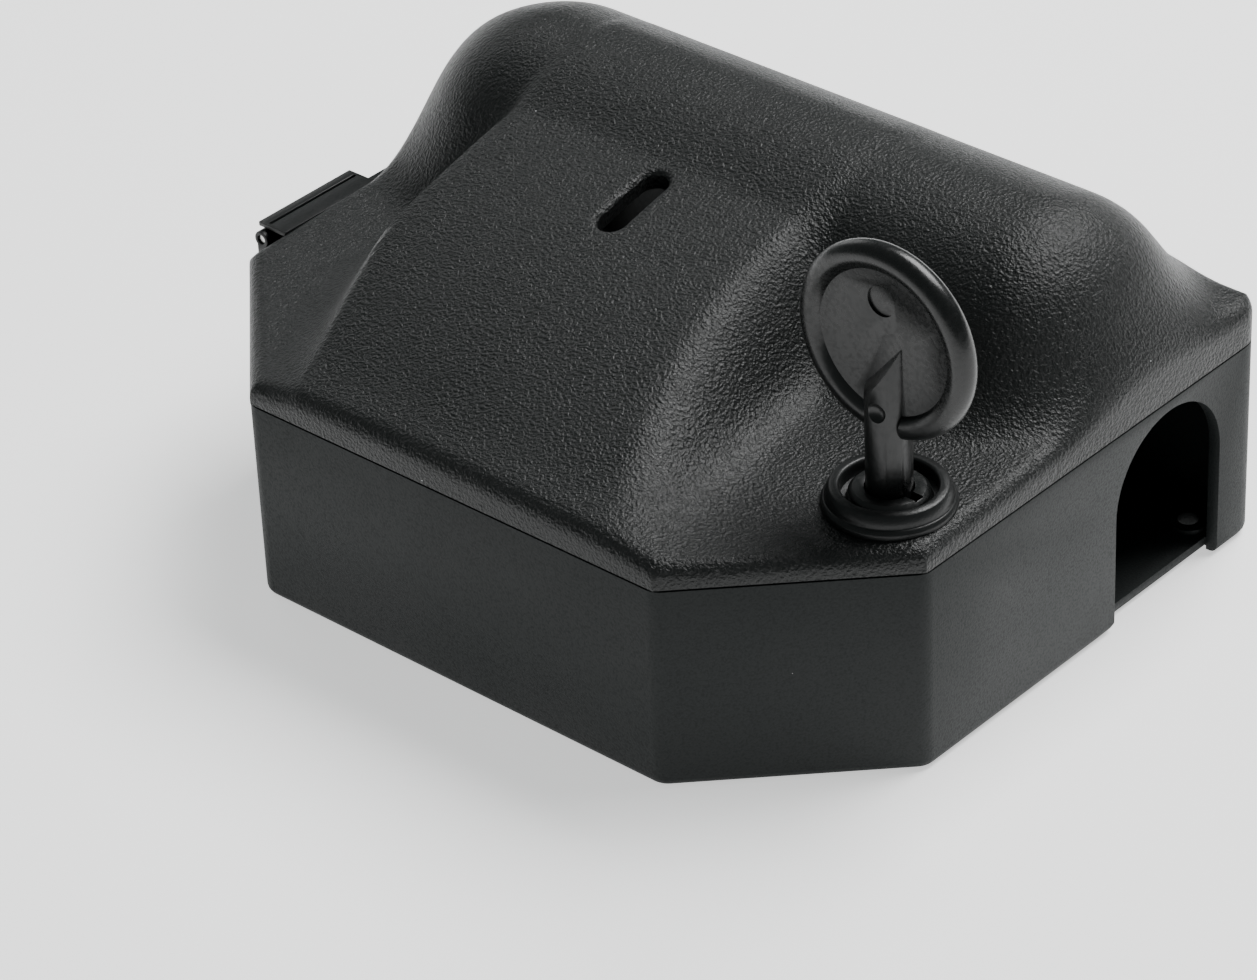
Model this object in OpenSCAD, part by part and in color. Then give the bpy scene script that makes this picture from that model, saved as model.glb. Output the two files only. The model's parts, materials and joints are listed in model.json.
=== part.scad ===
// Rodent bait station: a lockable box with a snap trap seated inside.
// Origin: centre of the box, on the ground. +Y is the tunnel side, +X the lock side.

/* [Box] */
// Width of the box along X
box_w = 172; // [160:1:190]
// Depth of the box along Y
box_d = 139; // [134:1:150]
// Size of the two 45 degree front corner cuts
corner_cut = 35; // [25:1:40]
// Height of the seam between base and lid
seam_z = 44; // [43:0.5:48]
// Wall thickness
wall = 2.6; // [2:0.1:3.2]

/* [Entrances] */
// Half width of the entrance arches
arch_r = 16.6; // [14:0.1:17.4]
// Height of the centre of the arch's round top
arch_z = 25; // [18:0.5:25]

/* [Lid] */
// Height of the lid's deck at its front edge
deck_z = 48.6; // [48:0.1:50]
// Rise of the deck towards the back
deck_rise = 4.3; // [3:0.1:5]
// Radius of the ridge over the tunnel
ridge_r = 31.1; // [29:0.1:32]
// Height of the hump over the trap, above the deck, at the ridge
hump_h = 28.3; // [25:0.1:29]

/* [Lock] */
// Place of the lock along X
lock_x = 71; // [67:0.5:71]
// Place of the lock along Y
lock_y = -26.5; // [-28:0.5:-20]
// Radius of the lock plug
plug_r = 8; // [6:0.1:8]

/* [Trap] */
// Length of the trap
trap_l = 98; // [94:0.5:98]
// Width of the trap
trap_w = 49; // [46:0.5:50]
// Radius of the hammer's wire
wire_r = 1.2; // [1:0.05:1.4]

/* [Hidden] */
$fn = 48;

charcoal = [0.13, 0.14, 0.14];
soft_black = [0.07, 0.07, 0.07];
bright_steel = [0.75, 0.76, 0.78];
strike_yellow = [0.98, 0.68, 0.05];

half_w = box_w / 2;
half_d = box_d / 2;
seam_gap = 0.4;
base_top = seam_z - seam_gap;
floor_z = 0.8;
floor_t = 1.9;
floor_top = floor_z + floor_t;
back_r = 6;
cut_r = 4.5;

// ---- outlines ----

// Points of an arc that rounds the corner at p between its neighbours a and b.
function corner_arc(a, p, b, r, n = 6) =
  let(
    u = (a - p) / norm(a - p),
    v = (b - p) / norm(b - p),
    half = acos(u * v) / 2,
    reach = r / tan(half),
    centre = p + (u + v) / norm(u + v) * r / sin(half),
    from = p + u * reach - centre,
    to = p + v * reach - centre,
    a0 = atan2(from[1], from[0]),
    turn = atan2(from[0] * to[1] - from[1] * to[0], from * to)
  )
  [for (i = [0:n]) centre + r * [cos(a0 + turn * i / n), sin(a0 + turn * i / n)]];

// The box seen from above, moved inwards by t, with rounded corners.
function box_outline(t) =
  let(
    w = half_w - t,
    d = half_d - t,
    c = corner_cut - (2 - sqrt(2)) * t,
    pts = [[-w, d], [-w, -d + c], [-w + c, -d], [w - c, -d], [w, -d + c], [w, d]],
    radii = [back_r, cut_r, cut_r, cut_r, cut_r, back_r]
  )
  [
    for (k = [0:5])
      each corner_arc(pts[(k + 5) % 6], pts[k], pts[(k + 1) % 6], max(1, radii[k] - t))
  ];

module ring_prism(t_out, t_in, z0, z1) {
  translate([0, 0, z0])
    linear_extrude(z1 - z0)
      difference() {
        polygon(box_outline(t_out));
        polygon(box_outline(t_in));
      }
}

module plate_prism(t, z0, z1) {
  translate([0, 0, z0])
    linear_extrude(z1 - z0)
      polygon(box_outline(t));
}

module block(x0, x1, y0, y1, z0, z1) {
  translate([x0, y0, z0])
    cube([x1 - x0, y1 - y0, z1 - z0]);
}

// ---- base shell ----

arch_y = 39.3;
baffle_y = arch_y - arch_r - 3.2;
baffle_top = 38;
rib_t = 1.6;
seat_gap = 0.5;
trap_x = -14.5;
trap_y0 = -35.5;
trap_z0 = floor_top + 0.1;
screw_at = [4.5, 4];
rear_hole = [77.5, 58];
front_hole = [40, -58];
floor_hole_r = 2.1;
keeper_t = 2.2;
keeper_w = 3.3;
keeper_top = 42.6;

module arch_cut() {
  for (s = [-1, 1])
    translate([s * (half_w - wall / 2), arch_y, 0])
      rotate([90, 0, 90])
        union() {
          translate([0, arch_z, 0])
            cylinder(h = wall + 0.6, r = arch_r, center = true, $fn = 96);
          translate([-arch_r, -2, -(wall + 0.6) / 2])
            cube([2 * arch_r, arch_z + 2, wall + 0.6]);
        }
}

module floor_holes(r, z0, z1) {
  for (p = [rear_hole, front_hole])
    for (s = [-1, 1])
      translate([s * p[0], p[1], z0])
        cylinder(h = z1 - z0, r = r);
}

module trap_holes(r, z0, z1) {
  for (s = [screw_at[1], trap_w - screw_at[1]])
    translate([trap_x + trap_w / 2 - s, trap_y0 + screw_at[0], z0])
      cylinder(h = z1 - z0, r = r);
}

module baffles() {
  left_end = trap_x - trap_w / 2 - 2;
  right_end = trap_x + trap_w / 2 + 2;
  block(-half_w + wall - 0.3, left_end, baffle_y - rib_t, baffle_y, floor_top - 0.5, baffle_top);
  block(right_end, half_w - wall + 0.3, baffle_y - rib_t, baffle_y, floor_top - 0.5, baffle_top);
}

module trap_seat() {
  x0 = trap_x - trap_w / 2 - seat_gap;
  x1 = trap_x + trap_w / 2 + seat_gap;
  y0 = trap_y0 - seat_gap;
  rib_top = floor_top + 4;
  block(x0 - rib_t, x0, y0 - rib_t, baffle_y - rib_t, floor_top - 0.5, rib_top);
  block(x1, x1 + rib_t, y0 - rib_t, baffle_y - rib_t, floor_top - 0.5, rib_top);
  block(x0 - rib_t, x1 + rib_t, y0 - rib_t, y0, floor_top - 0.5, rib_top);
}

module underside_ribs() {
  reach_x = half_w - wall + 0.3;
  reach_y = half_d - wall + 0.3;
  block(-reach_x, reach_x, -rib_t, rib_t, 0, floor_z + 0.5);
  block(-rib_t, rib_t, -reach_y, reach_y, 0, floor_z + 0.5);
}

module keeper() {
  x1 = half_w - wall + 0.3;
  block(x1 - keeper_w, x1, lock_y - 9, lock_y + 9, keeper_top - keeper_t, keeper_top);
}

module base_shell() {
  color(charcoal)
    difference() {
      union() {
        ring_prism(0, wall, 0, base_top);
        plate_prism(wall - 0.3, floor_z, floor_top);
        underside_ribs();
        baffles();
        trap_seat();
        keeper();
        floor_holes(4.4, 0.4, floor_top + 0.9);
        trap_holes(3, 0.4, floor_z + 0.5);
      }
      arch_cut();
      floor_holes(floor_hole_r, -1, floor_top + 2);
      trap_holes(1.22, -1, floor_top + 1);
    }
}

// ---- lid surface ----

// Smooth maximum of two heights, with a fillet about k high.
function smax(a, b, k) =
  let(h = max(k - abs(a - b), 0) / k)
  max(a, b) + h * h * k / 4;

function clamp01(u) = min(1, max(0, u));

function half_width(y, t) =
  let(
    w = half_w - t,
    d = half_d - t,
    c = corner_cut - (2 - sqrt(2)) * t,
    r = back_r - t,
    over = y - (d - r)
  )
  y < -d + c ? w - c + (y + d)
  : over > 0 ? w - r + sqrt(max(0, r * r - over * over))
  : w;

ridge_y = 33.2;
ridge_left = -64;
ridge_right = 58;
ridge_left_end = 0.92;
ridge_right_end = 0.82;
ridge_left_power = 1.75;
ridge_right_power = 2.2;
flank_angle = 56;
ridge_fillet = 9.5;

// Profile of the ridge at distance r from its axis: an arc, then a straight flank.
function ridge_arc(r, big_r) =
  let(knee = big_r * sin(flank_angle))
  r < knee ? sqrt(big_r * big_r - r * r)
  : big_r * cos(flank_angle) - tan(flank_angle) * (r - knee);

// Height of the ridge over the tunnel, t below its outer face.
function ridge_z(x, y, t) =
  let(
    past = x > ridge_right ? (x - ridge_right) / ridge_right_end
      : x < ridge_left ? (ridge_left - x) / ridge_left_end
      : 0,
    power = x > 0 ? ridge_right_power : ridge_left_power,
    r = pow(pow(past, power) + pow(abs(y - ridge_y), power), 1 / power)
  )
  deck_z + max(-ridge_fillet - 1, ridge_arc(r, ridge_r - t));

hump_left = -53;
hump_right = 22;
hump_back = 38.5;
hump_rise = 1.6;
hump_fillet = 6;
flank_left = 20;
flank_right = 28;
hump_bulge = 1.2;

// Height of the hump over the trap, t below its outer face.
function hump_z(x, y, t) =
  let(
    v = clamp01((y + half_d) / (hump_back + half_d)),
    front = clamp01(1 - v * 2.45),
    near = clamp01(1 - v * 1.54),
    x_left = hump_left + 14 * pow(front, 1.2) + 0.8 * t,
    x_right = hump_right + 20 * near * near - 0.6 * t,
    behind = max(0, y - ridge_y),
    crest = min(
      hump_h * (1 - pow(1 - v, hump_rise)) - 1.15 * t,
      ridge_arc(behind, ridge_r - t) - 1 - behind * 0.2
    ),
    top = crest + hump_fillet,
    mid = (x_left + x_right) / 2,
    across = (x - mid) / (x_right - mid),
    fall_left = clamp01((x - x_left + flank_left) / flank_left),
    fall_right = clamp01((x_right + flank_right - 4 - x) / flank_right),
    profile = x < x_left ? pow(fall_left, 1.8)
      : 0.5 - 0.5 * cos(180 * fall_right),
    bulge = hump_bulge * max(0, 1 - across * across) * (1 - v)
  )
  deck_z - hump_fillet + top * profile + bulge;

function edge_distance(x, y) =
  min(
    half_width(y, 0) - abs(x),
    half_d - abs(y),
    (half_w + half_d - corner_cut - abs(x) + y) / sqrt(2)
  );

rim_r = 3.3;

function rim_drop(d) = d < rim_r ? rim_r - sqrt(max(0, rim_r * rim_r - pow(rim_r - d, 2))) : 0;

// Height of the lid's face at x, y; t is 0 outside and the wall thickness inside.
function lid_z(x, y, t) =
  let(
    deck = deck_z + deck_rise * clamp01((y + 41.5) / (half_d + 41.5)) - t,
    ridge = smax(deck, ridge_z(x, y, t), ridge_fillet),
    body = smax(ridge, hump_z(x, y, t), hump_fillet)
  )
  body - (t > 0 ? 0 : rim_drop(edge_distance(x, y)));

edge_steps = [0, 0.35, 1, 2, 3.3];
mid_cols = 40;
mid_rows = 30;

// Grid lines from -w to w: close together near both ends, even between them.
function grid_lines(w, n) =
  let(last = edge_steps[4])
  concat(
    [for (e = edge_steps) -w + e],
    [for (i = [1:n - 1]) -w + last + (2 * w - 2 * last) * i / n],
    [for (i = [4:-1:0]) w - edge_steps[i]]
  );

rows_outer = grid_lines(half_d, mid_rows);
n_rows = len(rows_outer);
n_cols = len(grid_lines(half_w, mid_cols));

function lid_grid(t) =
  [
    for (y = grid_lines(half_d - t, mid_rows))
      for (x = grid_lines(half_width(y, t), mid_cols))
        [x, y, lid_z(x, y, t)]
  ];

// Indices of the grid's border, anticlockwise from the front left corner.
border = concat(
  [for (i = [0:n_cols - 1]) i],
  [for (j = [1:n_rows - 1]) j * n_cols + n_cols - 1],
  [for (i = [n_cols - 2:-1:0]) (n_rows - 1) * n_cols + i],
  [for (j = [n_rows - 2:-1:1]) j * n_cols]
);

module lid_skin() {
  outer = lid_grid(0);
  inner = lid_grid(wall);
  grid_n = n_cols * n_rows;
  border_n = len(border);
  foot = 2 * grid_n;
  points = concat(
    outer,
    inner,
    [for (b = border) [outer[b][0], outer[b][1], seam_z]],
    [for (b = border) [inner[b][0], inner[b][1], seam_z]]
  );
  top = [
    for (j = [0:n_rows - 2])
      for (i = [0:n_cols - 2])
        let(p = j * n_cols + i, q = p + n_cols)
        each [[p, q, p + 1], [p + 1, q, q + 1]]
  ];
  under = [for (f = top) [f[0] + grid_n, f[2] + grid_n, f[1] + grid_n]];
  sides = [
    for (k = [0:border_n - 1])
      let(
        n = (k + 1) % border_n,
        a = border[k],
        b = border[n],
        c = foot + k,
        d = foot + n,
        e = foot + border_n + k,
        f = foot + border_n + n
      )
      each [
        [a, b, c], [b, d, c],
        [a + grid_n, e, b + grid_n], [b + grid_n, e, f],
        [c, d, e], [d, f, e]
      ]
  ];
  polyhedron(points, concat(top, under, sides), convexity = 8);
}

slot_x = -12;
slot_y = -1.5;
slot_l = 18;
slot_r = 3.1;
collar_body_r = 11;

module lid_shell() {
  color(charcoal)
    difference() {
      lid_skin();
      for (s = [-1, 1])
        translate([slot_x, slot_y + s * (slot_l / 2 - slot_r), 60])
          cylinder(h = 20, r = slot_r);
      block(slot_x - slot_r, slot_x + slot_r, slot_y - slot_l / 2 + slot_r,
            slot_y + slot_l / 2 - slot_r, 60, 80);
      translate([lock_x, lock_y, seam_z - 1])
        cylinder(h = 12, r = collar_body_r);
    }
}

// ---- hinge ----

hinge_x = -half_w - 4.4;
hinge_z = seam_z + 2.1;
hinge_y0 = -26.9;
hinge_len = 27.7;
knuckle_r = 1.8;
pin_r = 0.9;
knuckle_n = 5;
knuckle_len = hinge_len / knuckle_n;
knuckle_gap = 0.3;
leaf_y0 = hinge_y0 + 1.5;
leaf_y1 = hinge_y0 + hinge_len;
leaf_top = hinge_z + 3.1;

module knuckle(k) {
  translate([hinge_x, hinge_y0 + k * knuckle_len + knuckle_gap / 2, hinge_z])
    rotate([-90, 0, 0])
      cylinder(h = knuckle_len - knuckle_gap, r = knuckle_r);
}

module knuckle_web(k, z0, z1) {
  y0 = hinge_y0 + k * knuckle_len + knuckle_gap / 2;
  block(hinge_x - 1.2, hinge_x + 1.2, y0, y0 + knuckle_len - knuckle_gap, z0, z1);
}

module hinge_bore() {
  translate([hinge_x, hinge_y0 - 1, hinge_z])
    rotate([-90, 0, 0])
      cylinder(h = hinge_len + 2, r = pin_r + 0.05);
}

module hinge_leaf_base() {
  color(soft_black)
    difference() {
      union() {
        for (k = [0:2:4]) {
          knuckle(k);
          knuckle_web(k, hinge_z - 4.3, hinge_z);
        }
        block(hinge_x - 1.2, -half_w - 0.05, hinge_y0 + knuckle_gap / 2, leaf_y1 - knuckle_gap / 2,
              hinge_z - 4.3, hinge_z - 2.6);
        block(-half_w - 1.6, -half_w - 0.05, hinge_y0 + knuckle_gap / 2, leaf_y1 - knuckle_gap / 2,
              hinge_z - 12, hinge_z - 2.6);
      }
      hinge_bore();
    }
}

// A long plate over the knuckles, with a slot along it, and a thin strip on towards the back.
module hinge_leaf_lid() {
  color(soft_black)
    difference() {
      union() {
        for (k = [1:2:3]) {
          knuckle(k);
          knuckle_web(k, hinge_z, leaf_top - 0.5);
        }
        block(hinge_x - 1.7, -half_w + 1.4, leaf_y0, leaf_y1, leaf_top - 1, leaf_top);
        block(-half_w - 1.3, -half_w + 1, leaf_y1 - 1, leaf_y1 + 26, leaf_top - 1.6, leaf_top - 0.4);
      }
      hinge_bore();
      block(hinge_x + 0.4, hinge_x + 1.1, leaf_y0 + 0.9, leaf_y1 - 0.9, leaf_top - 0.8, leaf_top + 1);
    }
}

module hinge_pin() {
  color(bright_steel)
    translate([hinge_x, hinge_y0 + 0.6, hinge_z])
      rotate([-90, 0, 0])
        cylinder(h = hinge_len - 1.2, r = pin_r);
}

// ---- lock and key ----

collar_top = deck_z + 4.7;
plug_low = 38.6;
plug_head = collar_top - 0.7;
retainer_z = 41.6;
retainer_r = 9.2;
cam_t = 2;
cam_z = plug_low - cam_t;
key_pitch = 0.1;

module at_lock() {
  translate([lock_x, lock_y, 0])
    children();
}

module lock_collar() {
  color(charcoal)
    at_lock()
      rotate_extrude($fn = 96)
        polygon([
          [plug_r + 0.05, 43.2], [collar_body_r - 0.02, 43.2], [collar_body_r - 0.02, deck_z - 0.2],
          [12.7, deck_z - 0.2], [12.7, deck_z + 1.3], [12.2, deck_z + 2], [11.9, deck_z + 2.1],
          [11.8, deck_z + 3.2], [11.1, collar_top - 0.2], [10.6, collar_top], [9.5, collar_top],
          [9.1, collar_top - 0.4], [9.1, collar_top - 3], [plug_r + 0.05, collar_top - 3]
        ]);
}

module key_socket() {
  cylinder(h = 40, r = 4.6 + key_pitch);
  translate([4, -1.1, 0])
    cube([3, 2.2, 40]);
}

module lock_plug() {
  color(charcoal)
    at_lock()
      difference() {
        rotate_extrude($fn = 96)
          polygon([
            [0, plug_low], [plug_r - 1, plug_low], [plug_r - 1, retainer_z], [plug_r - 1, retainer_z + 1.3],
            [plug_r, retainer_z + 1.3], [plug_r, collar_top - 3], [plug_r - 0.4, collar_top - 2.7],
            [plug_r - 0.4, plug_head - 0.8], [plug_r - 1.2, plug_head], [0, plug_head]
          ]);
        translate([0, 0, plug_low + 4])
          key_socket();
        translate([0, 0, plug_low - 1])
          cylinder(h = 6, r = 1.2);
      }
}

module lock_retainer() {
  color(bright_steel)
    at_lock()
      translate([0, 0, retainer_z + 0.1])
        difference() {
          cylinder(h = 1.1, r = retainer_r);
          translate([0, 0, -1])
            cylinder(h = 4, r = plug_r - 0.95);
          translate([-2, -12, -1])
            cube([4, 8, 4]);
        }
}

module lock_cam() {
  color(bright_steel)
    at_lock()
      difference() {
        union() {
          translate([0, 0, cam_z])
            cylinder(h = cam_t, r = 6.4);
          translate([-4, -11.6, cam_z])
            cube([8, 11.6, cam_t]);
        }
        translate([0, 0, cam_z - 1])
          cylinder(h = cam_t + 2, r = 1.35);
      }
}

module lock_screw() {
  color(bright_steel)
    at_lock()
      difference() {
        union() {
          translate([0, 0, cam_z - 1.6])
            cylinder(h = 1.6, r = 2.6);
          translate([0, 0, cam_z - 0.1])
            cylinder(h = 5.6, r = 1.2);
        }
        for (a = [0, 90])
          rotate([0, 0, a])
            translate([-1.8, -0.35, cam_z - 2])
              cube([3.6, 0.7, 1]);
      }
}

key_rest = plug_low + 4.3;
stem_r = 4.4;
disc_r = 19.6;
disc_z = 83.7;
rim_tube_r = 2.7;
web_t = 2.5;

// The round head, in the XZ plane: a thick rim, cut off square beside the stem, and a thin web.
module key_head() {
  difference() {
    union() {
      translate([0, 0, disc_z])
        rotate([90, 0, 0])
          rotate_extrude($fn = 96)
            translate([disc_r - rim_tube_r, 0])
              circle(r = rim_tube_r);
      translate([0, web_t / 2, disc_z])
        rotate([90, 0, 0])
          cylinder(h = web_t, r = disc_r - rim_tube_r, $fn = 96);
    }
    block(0, stem_r - 0.1, -6, 6, disc_z - disc_r - 2, disc_z - disc_r + 5.8);
    translate([-0.4, -0.6, disc_z + 8.4])
      rotate([90, 0, 0])
        cylinder(h = 4, r = 3.1);
  }
}

// The stem runs up the head's front and ends in a slanted cut with its tip at the right.
module key_stem() {
  difference() {
    union() {
      translate([0, 0, key_rest])
        cylinder(h = disc_z - key_rest, r = stem_r);
      translate([stem_r - 0.6, -1, key_rest])
        cube([2.5, 2, 6]);
    }
    translate([0, -1.25, disc_z - 4.8])
      multmatrix([[1, 0, 0, 0], [0, 1, 0, 0], [1.2, 1.1, 1, 0], [0, 0, 0, 1]])
        block(-8, 8, -8, 1.25, 0, 30);
    block(-8, 8, 0, 8, disc_z - 12, disc_z + 8);
    translate([0.7, -5.2, disc_z - 13.2])
      sphere(r = 2.2);
  }
}

module key() {
  color(soft_black)
    at_lock()
      union() {
        key_head();
        key_stem();
      }
}

// ---- trap ----

axle_l = 39.4;
axle_z = 12.5;
axle_r = 1.5;
plate_h = 8;
ear_r = 11.3;
ear_z = 9.5;
ear_t = 3;

module at_trap() {
  translate([trap_x + trap_w / 2, trap_y0, trap_z0])
    rotate([0, 0, 90])
      children();
}

// A straight wire from a to b.
module rod(a, b, r) {
  v = b - a;
  translate(a)
    rotate([0, acos(v[2] / norm(v)), atan2(v[1], v[0])])
      cylinder(h = norm(v), r = r, $fn = 24);
}

function unit(v) = v / norm(v);

// Length of straight wire that the bend at corner k takes from each side.
function bend_reach(p, k, bend) =
  k == 0 || k == len(p) - 1 ? 0
  : bend * tan(acos(unit(p[k] - p[k - 1]) * unit(p[k + 1] - p[k])) / 2);

// The bend between the directions u and v at corner p.
module elbow(p, u, v, bend, r) {
  turn = acos(u * v);
  inward = unit(v - u);
  centre = p + inward * bend / cos(turn / 2);
  out = unit(p - u * bend * tan(turn / 2) - centre);
  axis = cross(out, u);
  multmatrix([
    [out[0], u[0], axis[0], centre[0]],
    [out[1], u[1], axis[1], centre[1]],
    [out[2], u[2], axis[2], centre[2]],
    [0, 0, 0, 1]
  ])
    rotate_extrude(angle = turn)
      translate([bend, 0])
        circle(r = r, $fn = 24);
}

// A short band around the wire where a straight meets a bend.
module band(p, u, r) {
  rod(p - u * 0.2, p + u * 0.2, r + 0.04);
}

// A bent wire through the points, with round bends.
module wire(p, r, bend = 3) {
  for (k = [0:len(p) - 2]) {
    u = unit(p[k + 1] - p[k]);
    rod(p[k] + u * bend_reach(p, k, bend), p[k + 1] - u * bend_reach(p, k + 1, bend), r);
  }
  for (k = [1:len(p) - 2]) {
    u = unit(p[k] - p[k - 1]);
    v = unit(p[k + 1] - p[k]);
    elbow(p[k], u, v, bend, r);
    band(p[k] - u * bend_reach(p, k, bend), u, r);
    band(p[k] + v * bend_reach(p, k, bend), v, r);
  }
}

module rounded_plate(l, w, h, r) {
  linear_extrude(h)
    polygon([
      for (c = [[0, 0, 180], [l, 0, 270], [l, w, 0], [0, w, 90]])
        for (i = [0:5])
          [
            (c[0] > 0 ? l - r : r) + r * cos(c[2] + i * 18),
            (c[1] > 0 ? w - r : r) + r * sin(c[2] + i * 18)
          ]
    ]);
}

channel_s = [16.6, 32.4];
channel_l = [13, 47];
recess_l = [50.5, 93.6];
recess_s = 5.8;

module trap_base() {
  color(soft_black)
    at_trap()
      difference() {
        union() {
          difference() {
            rounded_plate(trap_l, trap_w, plate_h, 3.5);
            translate([recess_l[0], recess_s, plate_h - 3])
              cube([recess_l[1] - recess_l[0], trap_w - 2 * recess_s, 4]);
          }
          for (s = [0, trap_w - ear_t])
            translate([axle_l, s, ear_z])
              rotate([-90, 0, 0])
                cylinder(h = ear_t, r = ear_r, $fn = 96);
          for (s = channel_s)
            translate([channel_l[0], s - 1, plate_h - 1])
              cube([channel_l[1] - channel_l[0], 2, 6.2]);
          translate([62, 0, plate_h - 1])
            cube([28, 1.6, 1.6]);
          translate([94, 14, plate_h - 1])
            cube([2.4, 21, 1.8]);
        }
        translate([-1, -1, -20])
          cube([trap_l + 2, trap_w + 2, 20]);
        translate([axle_l, -1, axle_z])
          rotate([-90, 0, 0])
            cylinder(h = trap_w + 2, r = axle_r + 0.05);
        for (s = [-1, trap_w - ear_t])
          translate([axle_l - axle_r, s, -1])
            cube([2 * axle_r, ear_t + 1, axle_z]);
        for (s = [screw_at[1], trap_w - screw_at[1]])
          translate([screw_at[0], s, -1])
            cylinder(h = plate_h + 2, r = 1.65);
        translate([pedal_pin_l, 10, pedal_pin_z])
          rotate([-90, 0, 0])
            cylinder(h = 30, r = pedal_pin_r + 0.05);
        translate([catch_pin_l, 10, catch_pin_z])
          rotate([-90, 0, 0])
            cylinder(h = 30, r = pedal_pin_r + 0.05);
        translate([10.5, 12.6, plate_h - 4])
          cylinder(h = 6, r = wire_r + 0.05);
      }
}

module trap_screws() {
  color(bright_steel) {
    trap_holes(1.2, 1, trap_z0 + plate_h);
    difference() {
      trap_holes(3, trap_z0 + plate_h, trap_z0 + plate_h + 1.6);
      for (s = [screw_at[1], trap_w - screw_at[1]])
        translate([trap_x + trap_w / 2 - s - 2, trap_y0 + screw_at[0] - 0.4, trap_z0 + plate_h + 0.9])
          cube([4, 0.8, 2]);
    }
  }
}

module trap_axle() {
  color(soft_black)
    at_trap()
      translate([axle_l, 0.3, axle_z])
        rotate([-90, 0, 0])
          cylinder(h = trap_w - 0.6, r = axle_r - 0.02);
}

arm_near = 4.8;
arm_far = trap_w - 4.8;
handle_top = 51;
handle_lean = 3.5;
bar_l = 95;
bar_z = 11.4;
sleeve_r = 2.3;

eye_r = 3.2;
eye_t = 3;

module hammer_eye(s) {
  translate([axle_l, s - eye_t / 2, axle_z])
    rotate([-90, 0, 0])
      cylinder(h = eye_t, r = eye_r);
}

// One side of the strike loop, from the axle to the corner of the bar.
function strike_side(s, side) = [
  [axle_l + 2, s, axle_z - 1.2], [bar_l, s - side * 1.7, bar_z]
];

// One side of the handle, from the axle to the top corner.
function handle_side(s, side) = [
  [axle_l + 0.2, s, axle_z + 2], [axle_l + handle_lean, s + side * 3.8, handle_top]
];

function reversed(list) = [for (k = [len(list) - 1:-1:0]) list[k]];

module hammer_wire() {
  color(bright_steel)
    at_trap()
      difference() {
        union() {
          hammer_eye(arm_near);
          hammer_eye(arm_far);
          wire(concat(strike_side(arm_near, 1), reversed(strike_side(arm_far, -1))), wire_r, 2);
          wire(concat(handle_side(arm_near, 1), reversed(handle_side(arm_far, -1))), wire_r);
        }
        translate([axle_l, 0, axle_z])
          rotate([-90, 0, 0])
            cylinder(h = trap_w, r = axle_r + 0.04);
      }
}

module strike_sleeve() {
  color(strike_yellow)
    at_trap()
      translate([bar_l, 9.5, bar_z])
        rotate([-90, 0, 0])
          difference() {
            cylinder(h = 34.2, r = sleeve_r);
            translate([0, 0, -1])
              cylinder(h = 40, r = wire_r + 0.05);
          }
}

coil_r = 3.1;
coil_wire = 0.55;
coil_turns = 5;
coil_pitch = 1.25;

// Five separate rings stand for the turns; a leg rests on the plate and a leg reaches the handle.
module spring(s, side) {
  for (k = [0:coil_turns - 1])
    translate([axle_l, s + side * k * coil_pitch, axle_z])
      rotate([90, 0, 0])
        rotate_extrude($fn = 40)
          translate([coil_r, 0])
            circle(r = coil_wire + 0.1, $fn = 16);
  rod([axle_l - coil_r, s + side * (coil_turns - 1) * coil_pitch, axle_z],
      [axle_l - coil_r - 5, s + side * (coil_turns - 1) * coil_pitch, plate_h + coil_wire + 0.05], coil_wire);
  rod([axle_l + coil_r, s, axle_z], [axle_l + coil_r - 0.3, s, axle_z + 11], coil_wire);
}

module spring_left() {
  color(bright_steel)
    at_trap()
      spring(trap_w - 8.2, -1);
}

module spring_right() {
  color(bright_steel)
    at_trap()
      spring(8.2, 1);
}

pedal_tilt = 5.5;
pedal_pin_l = 44;
pedal_pin_z = 12.2;
pedal_pin_r = 0.9;
pedal_t = 1.8;
pedal_top = 14.6;
cup_l = 76;

// The pedal's outline: a neck that widens with round shoulders, then tapers to the front.
function pedal_points() =
  let(c = trap_w / 2, neck = 6.4, wide = 18, shoulder = 11.5)
  concat(
    [[30, c - neck], [46, c - neck]],
    [for (i = [1:5]) [46 + shoulder * sin(18 * i), c - neck - shoulder * (1 - cos(18 * i)) + 0]],
    [[60, c - wide - 0.5], [92.5, c - wide + 1.2], [92.5, c + wide - 1.2], [60, c + wide + 0.5]],
    [for (i = [5:-1:1]) [46 + shoulder * sin(18 * i), c + neck + shoulder * (1 - cos(18 * i))]],
    [[46, c + neck], [30, c + neck]]
  );

module pedal_frame() {
  translate([pedal_pin_l, 0, pedal_top])
    rotate([0, pedal_tilt, 0])
      translate([-pedal_pin_l, 0, 0])
        children();
}

module trip_pedal() {
  color(soft_black)
    at_trap()
      difference() {
        union() {
          pedal_frame()
            translate([0, 0, -pedal_t])
              difference() {
                linear_extrude(pedal_t)
                  polygon(pedal_points());
                translate([cup_l, trap_w / 2, -1])
                  cylinder(h = 5, r = 9.4, $fn = 96);
                for (k = [0:2])
                  for (s = [-1, 1])
                    translate([62 + k * 10.4, trap_w / 2 + s * 14.6, -1])
                      cylinder(h = 5, r = 2);
                translate([32, trap_w / 2 - 1.7, -1])
                  cube([6.5, 3.4, 5]);
              }
          pedal_frame()
            translate([88.4, 12.5, -0.2])
              cube([1.6, 24, 0.9]);
          translate([pedal_pin_l, trap_w / 2 - 5.8, pedal_pin_z])
            rotate([-90, 0, 0])
              cylinder(h = 11.6, r = 1.9);
        }
        translate([pedal_pin_l, 0, pedal_pin_z])
          rotate([-90, 0, 0])
            cylinder(h = trap_w, r = pedal_pin_r + 0.05);
        translate([axle_l, 0, axle_z])
          rotate([-90, 0, 0])
            cylinder(h = trap_w, r = axle_r + 0.35);
      }
}

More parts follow.
